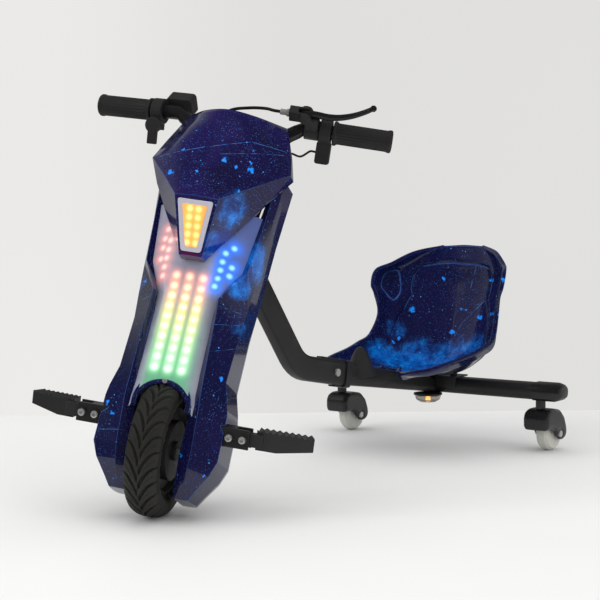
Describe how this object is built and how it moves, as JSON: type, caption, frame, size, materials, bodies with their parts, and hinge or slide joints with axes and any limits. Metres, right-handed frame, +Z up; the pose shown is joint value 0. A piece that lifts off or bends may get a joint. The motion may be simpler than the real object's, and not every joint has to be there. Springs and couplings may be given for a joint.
{
  "type": "electric drift trike",
  "caption": "Electric drift trike with a faceted fairing and light panel, front hub wheel, drum brake, thumb throttle, fold-up foot pegs, bucket seat and rear casters.",
  "frame": {"origin": "middle of the whole part's box, on the floor", "axes": "+Z up, -Y the way the trike drives, +X to the rider's left"},
  "size_m": [0.5346, 0.9906, 0.6353],
  "materials": {
    "body_gloss": "high gloss deep navy with fine speckles and pale blue streaks",
    "frame_black": "satin black powder coat",
    "hub_black": "satin black cast alloy",
    "tyre": "matte black rubber with a directional tread",
    "rubber_black": "matte black",
    "plastic_black": "fine-grained satin black",
    "steel": "zinc plated",
    "controller_alloy": "bare extruded alloy",
    "panel_frosted": "frosted translucent polycarbonate",
    "dome_clear": "clear moulded plastic",
    "lamp_yellow": "yellow lamp",
    "board_green": "solder mask with lit lamps",
    "roller_translucent": "translucent off-white polyurethane"
  },
  "bodies": {
    "frame": {"lower_bearing": "steel", "upper_bearing": "steel", "main_tube": "frame_black", "rear_tube": "frame_black", "frame_collar": "frame_black", "collar_bolt": "steel", "pommel": "plastic_black", "crossbar": "frame_black", "left_end_cap": "plastic_black", "left_caster_stem": "steel", "right_end_cap": "plastic_black", "right_caster_stem": "steel", "seat": "body_gloss", "seat_bracket": "frame_black", "tail_lamp_base": "plastic_black", "tail_lamp_dome": "dome_clear", "tail_lamp_bulb": "lamp_yellow"},
    "front_end": {"fork": "frame_black", "stem_clamp": "frame_black", "stem_cap": "frame_black", "front_fairing": "body_gloss", "rear_fairing": "body_gloss", "light_panel": "panel_frosted", "centre_led_board": "board_green", "left_led_board": "board_green", "right_led_board": "board_green", "front_cowl": "body_gloss", "headlight_lens": "panel_frosted", "headlight_board": "board_green", "battery_pack": "plastic_black", "motor_controller": "controller_alloy", "front_axle": "steel", "brake_plate": "hub_black", "handlebar": "frame_black", "left_grip": "rubber_black", "switch_housing": "plastic_black", "brake_perch": "plastic_black", "cable_adjuster": "steel", "right_grip": "rubber_black", "throttle_body": "plastic_black", "brake_cable": "rubber_black", "switch_lead": "rubber_black", "left_peg_bracket": "frame_black", "right_peg_bracket": "frame_black"},
    "front_wheel": {"front_tyre": "tyre", "front_hub": "hub_black"},
    "switch_button": {"switch_button": "plastic_black"},
    "brake_lever": {"brake_lever": "plastic_black"},
    "throttle_lever": {"throttle_lever": "plastic_black"},
    "left_footpeg": {"left_footpeg": "plastic_black"},
    "right_footpeg": {"right_footpeg": "plastic_black"},
    "left_caster": {"left_caster_hood": "plastic_black", "left_caster_axle": "steel"},
    "right_caster": {"right_caster_hood": "plastic_black", "right_caster_axle": "steel"},
    "left_roller": {"left_roller": "roller_translucent"},
    "right_roller": {"right_roller": "roller_translucent"}
  },
  "joints": [
    {"name": "steering", "type": "hinge", "parent": "frame", "child": "front_end", "pos_m": [0, -0.42315, 0.00006], "axis": [0, 0.3387, 0.9409], "range_deg": [-70.5, 19.5]},
    {"name": "front_wheel_spin", "type": "hinge", "parent": "front_end", "child": "front_wheel", "pos_m": [0.00567, -0.39994, 0.09963], "axis": [0.9026, 0.4051, -0.1458], "continuous": true},
    {"name": "brake_lever_pull", "type": "hinge", "parent": "front_end", "child": "brake_lever", "pos_m": [0.09455, -0.15788, 0.58854], "axis": [-0.2028, 0.6015, 0.7727], "range_deg": [0, 12], "stiffness_Nm_per_rad": 1.5, "springref_deg": -5.73},
    {"name": "throttle_push", "type": "hinge", "parent": "front_end", "child": "throttle_lever", "pos_m": [-0.13639, -0.24874, 0.58025], "axis": [0.3082, -0.9512, -0.0168], "range_deg": [0, 30], "stiffness_Nm_per_rad": 0.12, "springref_deg": -11.46},
    {"name": "switch_button_press", "type": "slide", "parent": "front_end", "child": "switch_button", "axis": [0.4971, -0.8664, -0.0473], "range_m": [0, 0.002], "stiffness_N_per_m": 600, "springref_m": -0.0005},
    {"name": "left_footpeg_fold", "type": "hinge", "parent": "front_end", "child": "left_footpeg", "pos_m": [0.12104, -0.3494, 0.11743], "axis": [0.4051, -0.9138, -0.031], "range_deg": [0, 90]},
    {"name": "right_footpeg_fold", "type": "hinge", "parent": "front_end", "child": "right_footpeg", "pos_m": [-0.09919, -0.44824, 0.15302], "axis": [-0.4051, 0.9138, 0.031], "range_deg": [0, 90]},
    {"name": "left_caster_swivel", "type": "hinge", "parent": "frame", "child": "left_caster", "pos_m": [0.22, 0.38285, 0.00006], "axis": [0, 0, 1], "continuous": true},
    {"name": "right_caster_swivel", "type": "hinge", "parent": "frame", "child": "right_caster", "pos_m": [-0.22, 0.38285, 0.00006], "axis": [0, 0, 1], "continuous": true},
    {"name": "left_roller_spin", "type": "hinge", "parent": "left_caster", "child": "left_roller", "pos_m": [0.22, 0.41585, 0.03156], "axis": [1, 0, 0], "continuous": true},
    {"name": "right_roller_spin", "type": "hinge", "parent": "right_caster", "child": "right_roller", "pos_m": [-0.22, 0.41585, 0.03156], "axis": [1, 0, 0], "continuous": true}
  ]
}
